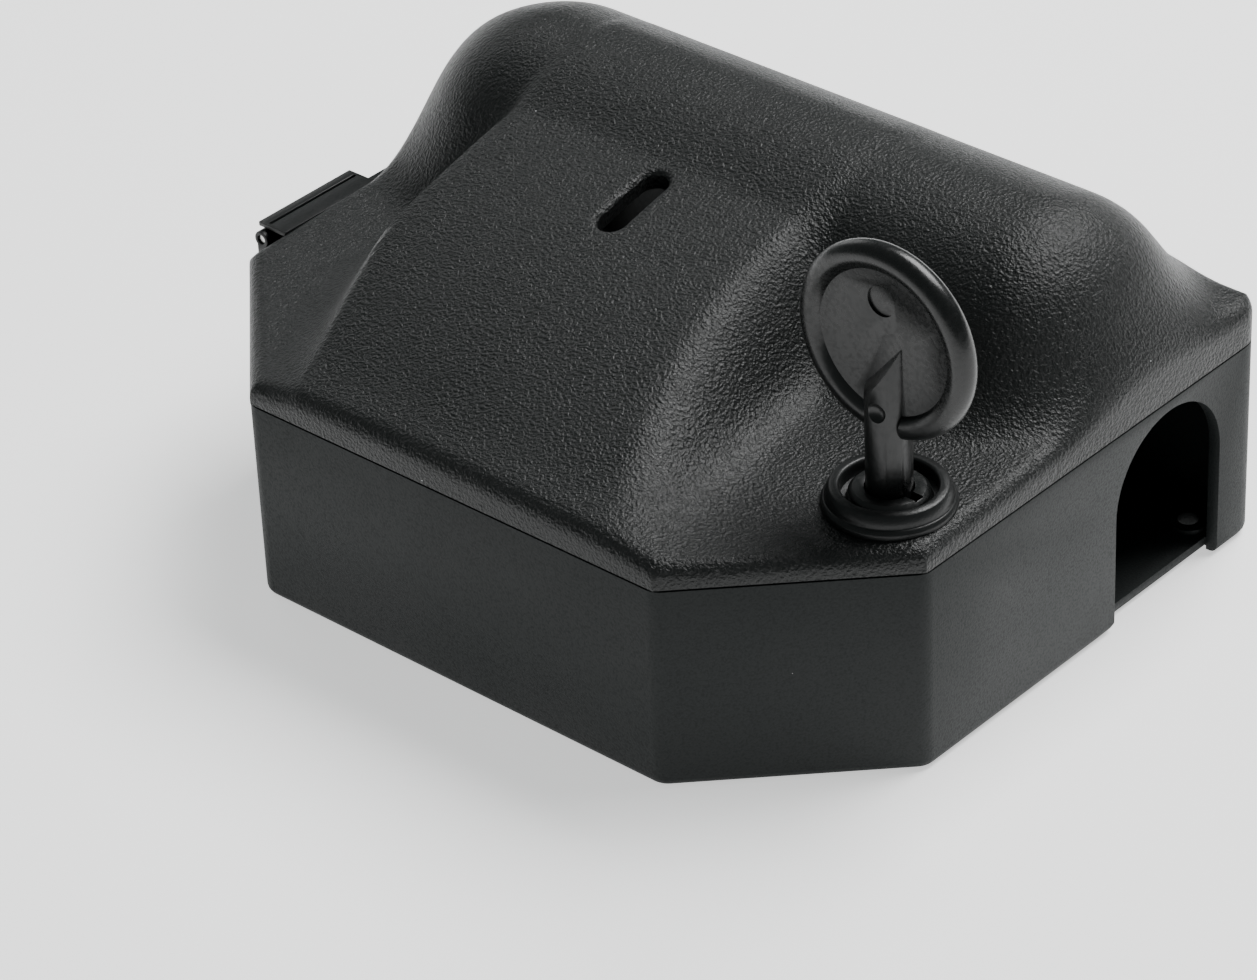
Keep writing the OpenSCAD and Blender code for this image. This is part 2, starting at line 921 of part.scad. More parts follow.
module pedal_pin() {
  color(bright_steel)
    at_trap()
      translate([pedal_pin_l, channel_s[0] - 1, pedal_pin_z])
        rotate([-90, 0, 0])
          cylinder(h = channel_s[1] - channel_s[0] + 2, r = pedal_pin_r);
}

module bait_cup() {
  cup_r = 7.4;
  color(soft_black)
    at_trap()
      translate([cup_l, trap_w / 2, plate_h - 3])
        difference() {
          cylinder(h = 10.6, r = cup_r, $fn = 96);
          translate([0, 0, 1.2])
            cylinder(h = 12, r = cup_r - 1.5, $fn = 96);
        }
}

catch_pin_l = 22;
catch_pin_z = 11.5;

// The raised block behind the pedal: its nose reaches over the pedal's tail.
module catch_lever() {
  c = trap_w / 2;
  color(soft_black)
    at_trap()
      difference() {
        union() {
          translate([0, c + 6.3, 0])
            rotate([90, 0, 0])
              linear_extrude(12.6)
                polygon([
                  [14.5, 9], [26, 9], [28.6, 16], [28.6, 18.4], [18.5, 22.5],
                  [16, 20.6], [12.6, 21.6], [11.6, 15.5]
                ]);
        }
        translate([catch_pin_l, 0, catch_pin_z])
          rotate([-90, 0, 0])
            cylinder(h = trap_w, r = pedal_pin_r + 0.05);
        translate([19.5, c - 1.7, 17])
          cube([7, 3.4, 10]);
      }
}

module catch_pin() {
  color(bright_steel)
    at_trap()
      translate([catch_pin_l, channel_s[0] - 1, catch_pin_z])
        rotate([-90, 0, 0])
          cylinder(h = channel_s[1] - channel_s[0] + 2, r = pedal_pin_r);
}

module catch_wire() {
  color(bright_steel)
    at_trap()
      wire([[10.5, 12.6, plate_h - 4], [10.5, 12.6, 17.2], [14.6, 16.8, 17.6]], wire_r, 2.5);
}

base_shell();
lid_shell();
hinge_leaf_base();
hinge_leaf_lid();
hinge_pin();
lock_collar();
lock_plug();
lock_retainer();
lock_cam();
lock_screw();
key();
trap_base();
trap_screws();
trap_axle();
hammer_wire();
strike_sleeve();
spring_left();
spring_right();
trip_pedal();
pedal_pin();
bait_cup();
catch_lever();
catch_pin();
catch_wire();
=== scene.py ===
"""Looks of a rodent bait station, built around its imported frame.

Every piece is in metres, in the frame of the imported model: +X towards the lock,
+Y towards the tunnel at the back, +Z up, with the origin under the box's centre.
"""
from __future__ import annotations

import json
import logging
import math
from contextlib import contextmanager
from dataclasses import dataclass, field
from enum import Enum
from typing import Callable, Iterator, Sequence

import bmesh
import bpy
import numpy as np
from mathutils import Matrix, Vector

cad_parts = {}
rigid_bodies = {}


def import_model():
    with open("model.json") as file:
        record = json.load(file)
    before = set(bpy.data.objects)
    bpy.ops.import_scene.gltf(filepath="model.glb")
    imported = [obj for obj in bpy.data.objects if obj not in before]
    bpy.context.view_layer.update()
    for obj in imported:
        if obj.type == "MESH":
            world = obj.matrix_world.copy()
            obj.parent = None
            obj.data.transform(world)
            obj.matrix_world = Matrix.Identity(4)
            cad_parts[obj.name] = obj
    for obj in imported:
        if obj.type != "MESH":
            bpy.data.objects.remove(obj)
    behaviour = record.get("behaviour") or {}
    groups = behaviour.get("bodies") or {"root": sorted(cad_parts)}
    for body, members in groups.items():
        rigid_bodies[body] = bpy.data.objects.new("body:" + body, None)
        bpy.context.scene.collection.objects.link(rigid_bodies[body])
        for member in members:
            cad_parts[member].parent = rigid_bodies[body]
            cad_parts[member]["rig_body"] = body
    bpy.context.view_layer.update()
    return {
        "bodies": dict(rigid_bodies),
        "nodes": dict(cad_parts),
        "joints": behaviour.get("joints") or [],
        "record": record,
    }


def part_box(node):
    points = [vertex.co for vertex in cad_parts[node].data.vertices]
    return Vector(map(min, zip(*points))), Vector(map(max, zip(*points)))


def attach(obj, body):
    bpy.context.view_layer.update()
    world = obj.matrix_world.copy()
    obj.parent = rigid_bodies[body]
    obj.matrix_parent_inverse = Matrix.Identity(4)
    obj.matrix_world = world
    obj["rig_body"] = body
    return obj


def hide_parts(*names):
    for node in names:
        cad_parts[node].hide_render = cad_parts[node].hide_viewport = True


LOG = logging.getLogger("bait_station")
MM = 0.001
Point = tuple[float, float, float]


# ---------------------------------------------------------------- small tools


def deselect_all() -> None:
    """Clear the selection and leave edit mode if it is on."""
    if bpy.context.object and bpy.context.object.mode != "OBJECT":
        bpy.ops.object.mode_set(mode="OBJECT")
    bpy.ops.object.select_all(action="DESELECT")


def activate(piece: bpy.types.Object) -> None:
    """Select one piece alone and make it the active one.

    Args:
        piece: The object to work on.
    """
    deselect_all()
    piece.select_set(True)
    bpy.context.view_layer.objects.active = piece


@contextmanager
def edit_mode(piece: bpy.types.Object, kind: str = "FACE") -> Iterator[None]:
    """Hold a piece in edit mode with nothing selected.

    Args:
        piece: The object to edit.
        kind: VERT, EDGE or FACE.
    """
    activate(piece)
    bpy.ops.object.mode_set(mode="EDIT")
    bpy.ops.mesh.select_mode(type=kind)
    bpy.ops.mesh.select_all(action="DESELECT")
    yield
    bpy.ops.object.mode_set(mode="OBJECT")


def select_edges(piece: bpy.types.Object, wanted: Callable[[bmesh.types.BMEdge], bool]) -> int:
    """Select the edges that a test accepts, in edit mode with edges as the mode.

    Args:
        piece: The object in edit mode.
        wanted: Test of an edge.

    Returns:
        How many edges are selected.
    """
    mesh = bmesh.from_edit_mesh(piece.data)
    count = 0
    for edge in mesh.edges:
        edge.select = wanted(edge)
        count += edge.select
    mesh.select_flush_mode()
    bmesh.update_edit_mesh(piece.data)
    return count


def apply_modifier(piece: bpy.types.Object, kind: str, **settings: object) -> None:
    """Add a modifier, set it and apply it.

    Args:
        piece: The object to finish.
        kind: The modifier's type.
        settings: Values set on the modifier.
    """
    activate(piece)
    modifier = piece.modifiers.new(kind.title(), kind)
    for name, value in settings.items():
        setattr(modifier, name, value)
    bpy.ops.object.modifier_apply(modifier=modifier.name)


def rest_at_origin(piece: bpy.types.Object) -> None:
    """Put a piece's place into its mesh, so that its object sits at the origin."""
    activate(piece)
    bpy.ops.object.transform_apply(location=True, rotation=True, scale=True)


def smooth(piece: bpy.types.Object, angle: float = 35.0) -> None:
    """Shade a piece smooth, with edges sharper than the angle kept.

    Args:
        piece: The object to shade.
        angle: Limit in degrees.
    """
    activate(piece)
    bpy.ops.object.shade_smooth_by_angle(angle=math.radians(angle))


def tidy_normals(piece: bpy.types.Object, merge: float = 1e-6) -> None:
    """Merge doubles and turn all faces outwards.

    Args:
        piece: The object to mend.
        merge: Distance under which vertices are merged.
    """
    with edit_mode(piece, "VERT"):
        bpy.ops.mesh.select_all(action="SELECT")
        bpy.ops.mesh.remove_doubles(threshold=merge)
        bpy.ops.mesh.normals_make_consistent(inside=False)


def named(name: str) -> bpy.types.Object:
    """Name the active object and its mesh, and return it."""
    piece = bpy.context.object
    piece.name = name
    piece.data.name = name
    return piece


def add_cylinder(name: str, radius: float, depth: float, at: Sequence[float],
                 sides: int) -> bpy.types.Object:
    """Add an upright cylinder.

    Args:
        name: The new object's name.
        radius: Radius in metres.
        depth: Length in metres.
        at: Centre.
        sides: Sides of the circle.

    Returns:
        The new object, with its place in its mesh.
    """
    deselect_all()
    bpy.ops.mesh.primitive_cylinder_add(vertices=sides, radius=radius, depth=depth, location=at)
    piece = named(name)
    rest_at_origin(piece)
    return piece


def cut(piece: bpy.types.Object, tool: bpy.types.Object) -> None:
    """Cut another closed mesh out of a piece, and remove that mesh.

    Args:
        piece: The object that stays.
        tool: The object used up.
    """
    apply_modifier(piece, "BOOLEAN", object=tool, operation="DIFFERENCE", solver="EXACT")
    bpy.data.objects.remove(tool)


# ---------------------------------------------------------------- finishes


class Slot(Enum):
    """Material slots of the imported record."""

    BOX = "box_plastic"
    KEY = "key_plastic"
    TRAP = "trap_plastic"
    CHROME = "chrome_wire"
    ZINC = "zinc_steel"
    YELLOW = "yellow_sleeve"


class Graph:
    """A node tree with short ways to add and join nodes."""

    def __init__(self, tree: bpy.types.NodeTree) -> None:
        """Keep the tree and start at its left side."""
        self.tree = tree
        self.column = 0

    def add(self, kind: str, **settings: object) -> bpy.types.Node:
        """Add a node and set its properties and input defaults.

        Args:
            kind: The node's type name.
            settings: Property values, or input values under the input's name with _ for spaces.

        Returns:
            The new node.
        """
        node = self.tree.nodes.new(kind)
        node.location = (self.column * 180, 0)
        self.column += 1
        for name, value in settings.items():
            if hasattr(node, name):
                setattr(node, name, value)
            else:
                node.inputs[name.replace("_", " ")].default_value = value
        return node

    def join(self, out: bpy.types.NodeSocket, into: bpy.types.NodeSocket) -> None:
        """Link an output to an input."""
        self.tree.links.new(out, into)

    def math(self, how: str, a: object, b: object = 0.0, clamp: bool = False) -> bpy.types.NodeSocket:
        """Add a Math node.

        Args:
            how: The operation.
            a: First input, a socket or a number.
            b: Second input, a socket or a number.
            clamp: Whether the result is held between 0 and 1.

        Returns:
            The result socket.
        """
        node = self.add("ShaderNodeMath", operation=how, use_clamp=clamp)
        for index, value in enumerate((a, b)):
            if isinstance(value, bpy.types.NodeSocket):
                self.join(value, node.inputs[index])
            else:
                node.inputs[index].default_value = value
        return node.outputs[0]

    def ramp(self, value: bpy.types.NodeSocket, low: float, high: float) -> bpy.types.NodeSocket:
        """Map a value from between two limits to between 0 and 1."""
        node = self.add("ShaderNodeMapRange")
        node.inputs["From Min"].default_value = low
        node.inputs["From Max"].default_value = high
        self.join(value, node.inputs["Value"])
        return node.outputs["Result"]

    def mix(self, share: object, a: object, b: object) -> bpy.types.NodeSocket:
        """Mix two colours, each a socket or a tuple."""
        node = self.add("ShaderNodeMix", data_type="RGBA")
        for socket, value in ((node.inputs[0], share), (node.inputs[6], a), (node.inputs[7], b)):
            if isinstance(value, bpy.types.NodeSocket):
                self.join(value, socket)
            else:
                socket.default_value = value
        return node.outputs[2]


def new_group(name: str, inputs: dict[str, float], outputs: dict[str, str]) -> tuple[
    bpy.types.NodeTree, Graph, bpy.types.Node, bpy.types.Node
]:
    """Make an empty shader node group.

    Args:
        name: The group's name.
        inputs: Name and default of each number input.
        outputs: Name and socket type of each output.

    Returns:
        The tree, its graph, its input node and its output node.
    """
    tree = bpy.data.node_groups.new(name, "ShaderNodeTree")
    for label, value in inputs.items():
        socket = tree.interface.new_socket(label, in_out="INPUT", socket_type="NodeSocketFloat")
        socket.default_value = value
    for label, kind in outputs.items():
        tree.interface.new_socket(label, in_out="OUTPUT", socket_type=kind)
    graph = Graph(tree)
    return tree, graph, graph.add("NodeGroupInput"), graph.add("NodeGroupOutput")


def grain_group() -> bpy.types.NodeTree:
    """Build the spark-eroded grain of moulded plastic.

    Returns:
        A group with a height of the grain and a mask of its pits.
    """
    tree, graph, source, result = new_group(
        "moulded_grain", {"Size mm": 0.8, "Fine share": 0.4},
        {"Height": "NodeSocketFloat", "Pits": "NodeSocketFloat"},
    )
    place = graph.add("ShaderNodeTexCoord").outputs["Object"]
    scale = graph.math("DIVIDE", 1000.0, source.outputs["Size mm"])
    cells = graph.add("ShaderNodeTexVoronoi", feature="SMOOTH_F1", Smoothness=0.7)
    graph.join(place, cells.inputs["Vector"])
    graph.join(graph.math("MULTIPLY", scale, 0.8), cells.inputs["Scale"])
    blobs = graph.add("ShaderNodeTexNoise", Detail=2.0, Roughness=0.55)
    graph.join(place, blobs.inputs["Vector"])
    graph.join(scale, blobs.inputs["Scale"])
    fine = graph.add("ShaderNodeTexNoise", Detail=1.0, Roughness=0.5)
    graph.join(place, fine.inputs["Vector"])
    graph.join(graph.math("MULTIPLY", scale, 3.1), fine.inputs["Scale"])
    lump = graph.math("SUBTRACT", graph.ramp(blobs.outputs["Fac"], 0.3, 0.7),
                      graph.math("MULTIPLY", cells.outputs["Distance"], 0.8))
    height = graph.math("ADD", lump, graph.math("MULTIPLY", fine.outputs["Fac"],
                                                 source.outputs["Fine share"]))
    graph.join(height, result.inputs["Height"])
    graph.join(graph.ramp(lump, 0.25, -0.35), result.inputs["Pits"])
    return tree


def marks_and_glints_group() -> bpy.types.NodeTree:
    """Build the slow changes of tone and gloss left where the box was handled and moulded, and sparse
    pale specks that are painted glints.

    Returns:
        A group with a cloud mask, and a mask of sparse pale specks that are painted glints.
    """
    tree, graph, source, result = new_group(
        "handling_marks_and_glints", {"Cloud mm": 40.0, "Speck mm": 9.0, "Speck size": 0.03},
        {"Cloud": "NodeSocketFloat", "Specks": "NodeSocketFloat"},
    )
    place = graph.add("ShaderNodeTexCoord").outputs["Object"]
    cloud = graph.add("ShaderNodeTexNoise", Detail=4.0, Roughness=0.6)
    graph.join(place, cloud.inputs["Vector"])
    graph.join(graph.math("DIVIDE", 1000.0, source.outputs["Cloud mm"]), cloud.inputs["Scale"])
    graph.join(graph.ramp(cloud.outputs["Fac"], 0.35, 0.65), result.inputs["Cloud"])
    # Sparse pale specks: painted glints, small bright points standing in for sparkles of light.
    glint_cells = graph.add("ShaderNodeTexVoronoi", feature="F1")
    graph.join(place, glint_cells.inputs["Vector"])
    graph.join(graph.math("DIVIDE", 1000.0, source.outputs["Speck mm"]), glint_cells.inputs["Scale"])
    near = graph.math("LESS_THAN", glint_cells.outputs["Distance"], source.outputs["Speck size"])
    graph.join(near, result.inputs["Specks"])
    return tree


class Groups:
    """The shared node groups, each built once."""

    def __init__(self) -> None:
        """Build the groups."""
        self.grain = grain_group()
        self.marks_and_glints = marks_and_glints_group()


@dataclass(frozen=True)
class Plastic:
    """A moulded plastic finish.

    Attributes:
        name: The material's name.
        dark: Base colour in the darker clouds.
        light: Base colour in the lighter clouds.
        roughness: Middle roughness.
        grain_mm: Size of the moulded grain, or 0 for none.
        grain_depth_mm: Depth of the grain.
        fine_share: Share of the fine grain in the coarse one.
        coat: Clear sheen over the surface, from 0 to 1.
        specks: Size of the pale specks painted as glints, or 0 for none.
        subsurface: Share of light that spreads inside.
        shine: Strength of the mirror part, 0.5 for ordinary plastic.
    """

    name: str
    dark: Point
    light: Point
    roughness: float
    grain_mm: float
    grain_depth_mm: float
    fine_share: float = 0.4
    coat: float = 0.0
    specks: float = 0.0
    subsurface: float = 0.0
    shine: float = 0.3

    def build(self, groups: Groups) -> bpy.types.Material:
        """Make the material.

        Args:
            groups: The shared node groups.

        Returns:
            The node material.
        """
        material = bpy.data.materials.new(self.name)
        material.use_nodes = True
        graph = Graph(material.node_tree)
        shader = material.node_tree.nodes["Principled BSDF"]
        marks_and_glints_node = graph.add("ShaderNodeGroup", node_tree=groups.marks_and_glints)
        marks_and_glints_node.inputs["Speck size"].default_value = self.specks
        grain = graph.add("ShaderNodeGroup", node_tree=groups.grain)
        grain.inputs["Size mm"].default_value = self.grain_mm
        grain.inputs["Fine share"].default_value = self.fine_share
        tone = graph.mix(marks_and_glints_node.outputs["Cloud"], (*self.dark, 1), (*self.light, 1))
        # Darker colour in the grain's pits is painted shade in the recesses.
        with_pit_shade = graph.mix(graph.math("MULTIPLY", grain.outputs["Pits"], 0.35), tone,
                           (*[c * 0.45 for c in self.dark], 1))
        # Pale grey specks mixed into the colour are painted glints, standing in for sparkles of light on
        # the grain.
        with_painted_glints = graph.mix(graph.math("MULTIPLY", marks_and_glints_node.outputs["Specks"], 0.6), with_pit_shade,
                          (0.55, 0.56, 0.56, 1))
        graph.join(with_painted_glints, shader.inputs["Base Color"])
        spread = graph.math("MULTIPLY_ADD", marks_and_glints_node.outputs["Cloud"], 0.08)
        spread.node.inputs[2].default_value = self.roughness - 0.04
        rough = graph.math("ADD", spread, graph.math("MULTIPLY", grain.outputs["Pits"], 0.10))
        graph.join(rough, shader.inputs["Roughness"])
        bump = graph.add("ShaderNodeBump", Strength=1.0, Distance=self.grain_depth_mm * MM)
        graph.join(grain.outputs["Height"], bump.inputs["Height"])
        graph.join(bump.outputs["Normal"], shader.inputs["Normal"])
        shader.inputs["Coat Weight"].default_value = self.coat
        shader.inputs["Coat Roughness"].default_value = 0.12
        shader.inputs["Subsurface Weight"].default_value = self.subsurface
        shader.inputs["Specular IOR Level"].default_value = self.shine
        return material


@dataclass(frozen=True)
class Metal:
    """A plated or bare metal finish.

    Attributes:
        name: The material's name.
        colour: Reflection colour.
        stain: Reflection colour where it is duller.
        roughness: Middle roughness.
        scratch_mm: Size of the fine marks.
    """

    name: str
    colour: Point
    stain: Point
    roughness: float
    scratch_mm: float

    def build(self, groups: Groups) -> bpy.types.Material:
        """Make the material.

        Args:
            groups: The shared node groups.

        Returns:
            The node material.
        """
        material = bpy.data.materials.new(self.name)
        material.use_nodes = True
        graph = Graph(material.node_tree)
        shader = material.node_tree.nodes["Principled BSDF"]
        shader.inputs["Metallic"].default_value = 1.0
        marks_and_glints_node = graph.add("ShaderNodeGroup", node_tree=groups.marks_and_glints)
        marks_and_glints_node.inputs["Cloud mm"].default_value = 6.0
        marks_and_glints_node.inputs["Speck size"].default_value = 0.0
        fine = graph.add("ShaderNodeGroup", node_tree=groups.grain)
        fine.inputs["Size mm"].default_value = self.scratch_mm
        graph.join(graph.mix(marks_and_glints_node.outputs["Cloud"], (*self.colour, 1), (*self.stain, 1)),
                   shader.inputs["Base Color"])
        rough = graph.math("MULTIPLY_ADD", marks_and_glints_node.outputs["Cloud"], 0.10)
        rough.node.inputs[2].default_value = self.roughness
        graph.join(rough, shader.inputs["Roughness"])
        bump = graph.add("ShaderNodeBump", Strength=0.35, Distance=0.01 * MM)
        graph.join(fine.outputs["Height"], bump.inputs["Height"])
        graph.join(bump.outputs["Normal"], shader.inputs["Normal"])
        return material


class Finishes:
    """Every finish of the bait station, and how a piece gets one."""

    def __init__(self) -> None:
        """Build all the materials."""
        groups = Groups()
        # specks on the lid, base and trap set the size of their painted glints.
        self.lid = Plastic("lid_grain", (0.0060, 0.0068, 0.0066), (0.0075, 0.0085, 0.0083),
                           0.36, 0.62, 0.15, 0.3, specks=0.018).build(groups)
        self.base = Plastic("base_matte", (0.0085, 0.0105, 0.0104), (0.0100, 0.0124, 0.0122),
                            0.50, 0.45, 0.022, 0.6, specks=0.014,
                            shine=0.22).build(groups)
        self.lock = Plastic("lock_satin", (0.0050, 0.0056, 0.0056), (0.0060, 0.0068, 0.0068),
                            0.34, 0.5, 0.016, 0.5).build(groups)
        self.key = Plastic("key_gloss", (0.0036, 0.0041, 0.0040), (0.0048, 0.0054, 0.0053),
                           0.27, 0.9, 0.008, 0.3, shine=0.42).build(groups)
        self.trap = Plastic("trap_gloss", (0.0036, 0.0040, 0.0040), (0.0048, 0.0053, 0.0053),
                            0.26, 0.7, 0.006, 0.3, specks=0.012, shine=0.5).build(groups)
        self.yellow = Plastic("yellow_tube", (0.86, 0.40, 0.012), (0.92, 0.46, 0.018),
                              0.30, 1.2, 0.010, 0.3, coat=0.2, subsurface=0.08,
                              shine=0.5).build(groups)
        self.chrome = Metal("chrome_plating", (0.78, 0.79, 0.81), (0.66, 0.67, 0.69),
                            0.07, 0.4).build(groups)
        self.zinc = Metal("zinc_plating", (0.58, 0.58, 0.56), (0.47, 0.47, 0.45),
                          0.30, 0.3).build(groups)
        self.slots = {
            self.lid: Slot.BOX, self.base: Slot.BOX, self.lock: Slot.BOX, self.key: Slot.KEY,
            self.trap: Slot.TRAP, self.yellow: Slot.YELLOW, self.chrome: Slot.CHROME,
            self.zinc: Slot.ZINC,
        }

    def dress(self, piece: bpy.types.Object, material: bpy.types.Material) -> None:
        """Give a piece one material all over.

        Args:
            piece: The object to dress.
            material: One of this class's materials.
        """
        piece.data.materials.clear()
        piece.data.materials.append(material)


@dataclass
class Workshop:
    """What every sub-assembly needs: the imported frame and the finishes."""

    frame: dict
    finishes: Finishes

    def fit(self, piece: bpy.types.Object, material: bpy.types.Material, body: str,
            *nodes: str) -> bpy.types.Object:
        """Dress a new piece, let it ride, and hide the nodes it stands for.

        Args:
            piece: The finished object.
            material: Its material.
            body: The body it rides on.
            nodes: The nodes it replaces.

        Returns:
            The same piece.
        """
        self.finishes.dress(piece, material)
        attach(piece, body)
        if nodes:
            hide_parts(*nodes)
        faces = len(piece.data.polygons)
        LOG.info("%s: %d faces, rides on %s, stands for %s", piece.name, faces, body, nodes)
        return piece

    def softened(self, node: str, material: bpy.types.Material, edge_mm: float,
                 angle: float = 35.0) -> bpy.types.Object:
        """Make a piece from a node's merged copy, with its sharp edges rounded.

        Args:
            node: The node to stand for.
            material: The piece's material.
            edge_mm: Width of the rounding.
            angle: Edges sharper than this are rounded.

        Returns:
            The fitted piece.
        """
        piece = self.merged_copy(node)
        apply_modifier(piece, "BEVEL", width=edge_mm * MM, segments=2, limit_method="ANGLE",
                       angle_limit=math.radians(angle), use_clamp_overlap=True,
                       harden_normals=False)
        smooth(piece, 32)
        return self.fit(piece, material, self.body_of(node), node)

    def merged_copy(self, node: str) -> bpy.types.Object:
        """Copy a node's mesh, merge its corners and join its flat triangles.

        Args:
            node: The node to copy.

        Returns:
            A new object with its own clean mesh.
        """
        deselect_all()
        source = self.frame["nodes"][node]
        bpy.ops.mesh.primitive_cube_add(size=1, location=(0, 0, 0))
        piece = named(f"{node}_look")
        spare = piece.data
        piece.data = source.data.copy()
        piece.data.name = piece.name
        bpy.data.meshes.remove(spare)
        with edit_mode(piece, "VERT"):
            bpy.ops.mesh.select_all(action="SELECT")
            bpy.ops.mesh.remove_doubles(threshold=2e-6)
            bpy.ops.mesh.customdata_custom_splitnormals_clear()
            bpy.ops.mesh.dissolve_limited(angle_limit=math.radians(0.4))
        return piece

    def body_of(self, node: str) -> str:
        """Name of the body that a node belongs to."""
        return self.frame["nodes"][node]["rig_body"]


# ---------------------------------------------------------------- lid


@dataclass
class LidForm:
    """The lid's surface, as heights over the ground in metres.

    Attributes:
        half_w: Half the box's width.
        half_d: Half the box's depth.
        seam: Height of the lid's lower edge.
        deck: Height of the deck at its front edge; it rises towards the back.
        corner: Size of the front corner cuts.
        back_r: Radius of the back corners.
    """

    half_w: float
    half_d: float
    seam: float
    deck: float = 48.6 * MM
    deck_rise: float = 4.3 * MM
    corner: float = 35 * MM
    back_r: float = 6 * MM
    rim_r: float = 3.3 * MM
    ridge_y: float = 33.2 * MM
    ridge_r: float = 31.1 * MM
    ridge_left: float = -64 * MM
    ridge_right: float = 58 * MM
    left_stretch: float = 0.92
    right_stretch: float = 0.82
    left_power: float = 1.75
    right_power: float = 2.2
    flank: float = math.radians(56)
    ridge_fillet: float = 9.5 * MM
    hump_back: float = 38.5 * MM
    hump_h: float = 28.3 * MM
    crease_r: float = 0.9 * MM
    hump_left: float = -53 * MM
    hump_right: float = 22 * MM
    hump_fillet: float = 6 * MM
    flank_left: float = 20 * MM
    flank_right: float = 28 * MM
    bulge: float = 1.2 * MM
    deck_flat: float = 28 * MM
    left_draw: float = 14 * MM
    left_draw_rate: float = 2.45
    left_draw_power: float = 1.2
    right_draw: float = 20 * MM
    right_draw_rate: float = 1.54
    crest_power: float = 1.6
    crest_sink: float = 1 * MM
    crest_fall: float = 0.2
    flank_power: float = 1.8
    flank_overlap: float = 4 * MM

    def fillet_max(self, a: np.ndarray, b: np.ndarray, k: float) -> np.ndarray:
        """Take the higher of two heights, with a fillet between them."""
        h = np.maximum(k - np.abs(a - b), 0) / k
        return np.maximum(a, b) + h * h * k / 4

    def arc(self, r: np.ndarray) -> np.ndarray:
        """Give the ridge's profile: a round top with straight flanks."""
        knee = self.ridge_r * math.sin(self.flank)
        top = np.sqrt(np.maximum(self.ridge_r**2 - r * r, 0))
        side = self.ridge_r * math.cos(self.flank) - math.tan(self.flank) * (r - knee)
        return np.where(r < knee, top, side)

    def ridge(self, x: np.ndarray, y: np.ndarray) -> np.ndarray:
        """Give the height of the ridge over the tunnel."""
        past = np.where(x > self.ridge_right, (x - self.ridge_right) / self.right_stretch,
                        np.where(x < self.ridge_left, (self.ridge_left - x) / self.left_stretch, 0))
        power = np.where(x > 0, self.right_power, self.left_power)
        far = past / self.ridge_r
        side = np.abs(y - self.ridge_y) / self.ridge_r
        rise = self.arc(self.ridge_r * (far**power + side**power) ** (1 / power))
        return self.deck + np.maximum(rise, -self.ridge_fillet - 1 * MM)

    def hump(self, x: np.ndarray, y: np.ndarray) -> np.ndarray:
        """Give the height of the hump over the trap."""
        v = np.clip((y + self.half_d) / (self.hump_back + self.half_d), 0, 1)
        front = np.clip(1 - v * self.left_draw_rate, 0, 1)
        near = np.clip(1 - v * self.right_draw_rate, 0, 1)
        left = self.hump_left + self.left_draw * front**self.left_draw_power
        right = self.hump_right + self.right_draw * near**2
        behind = np.maximum(0, y - self.ridge_y)
        crest = np.minimum(self.hump_h * (1 - (1 - v) ** self.crest_power),
                           self.arc(behind) - self.crest_sink - behind * self.crest_fall)
        top = crest + self.hump_fillet
        middle = (left + right) / 2
        across = (x - middle) / (right - middle)
        fall_left = np.clip((x - left + self.flank_left) / self.flank_left, 0, 1)
        fall_right = np.clip((right + self.flank_right - self.flank_overlap - x) / self.flank_right, 0, 1)
        profile = np.where(x < left, fall_left**self.flank_power, 0.5 - 0.5 * np.cos(np.pi * fall_right))
        swell = self.bulge * np.maximum(0, 1 - across**2) * (1 - v)
        return self.deck - self.hump_fillet + top * profile + swell

    def half_width(self, y: np.ndarray) -> np.ndarray:
        """Give half the lid's width at a depth."""
        over = np.clip(y - (self.half_d - self.back_r), 0, None)
        back = self.half_w - self.back_r + np.sqrt(np.maximum(self.back_r**2 - over**2, 0))
        front = self.half_w - self.corner + (y + self.half_d)
        return np.minimum(front, back)

    def inset(self, x: np.ndarray, y: np.ndarray) -> np.ndarray:
        """Give the distance from a point to the lid's outline."""
        diagonal = (self.half_w + self.half_d - self.corner - np.abs(x) + y) / math.sqrt(2)
        side = self.half_width(y) - np.abs(x)
        return np.minimum(np.minimum(side, self.half_d - np.abs(y)), diagonal)

    def body(self, x: np.ndarray, y: np.ndarray) -> np.ndarray:
        """Give the height of deck, ridge and hump together."""
        front = self.deck_flat - self.half_d
        deck = self.deck + self.deck_rise * np.clip((y - front) / (self.half_d - front), 0, 1)
        return self.fillet_max(self.fillet_max(deck, self.ridge(x, y), self.ridge_fillet),
                               self.hump(x, y), self.hump_fillet)

    def height(self, x: np.ndarray, y: np.ndarray) -> np.ndarray:
        """Give the height of the finished surface, its creases softened and its rim rounded."""
        reach = self.crease_r
        around = [(dx * reach, dy * reach) for dx in (-1, 0, 1) for dy in (-1, 0, 1)]
        body = sum(self.body(x + dx, y + dy) for dx, dy in around) / len(around)
        d = np.clip(self.inset(x, y), 0, self.rim_r)
        return body - (self.rim_r - np.sqrt(self.rim_r**2 - (self.rim_r - d) ** 2))


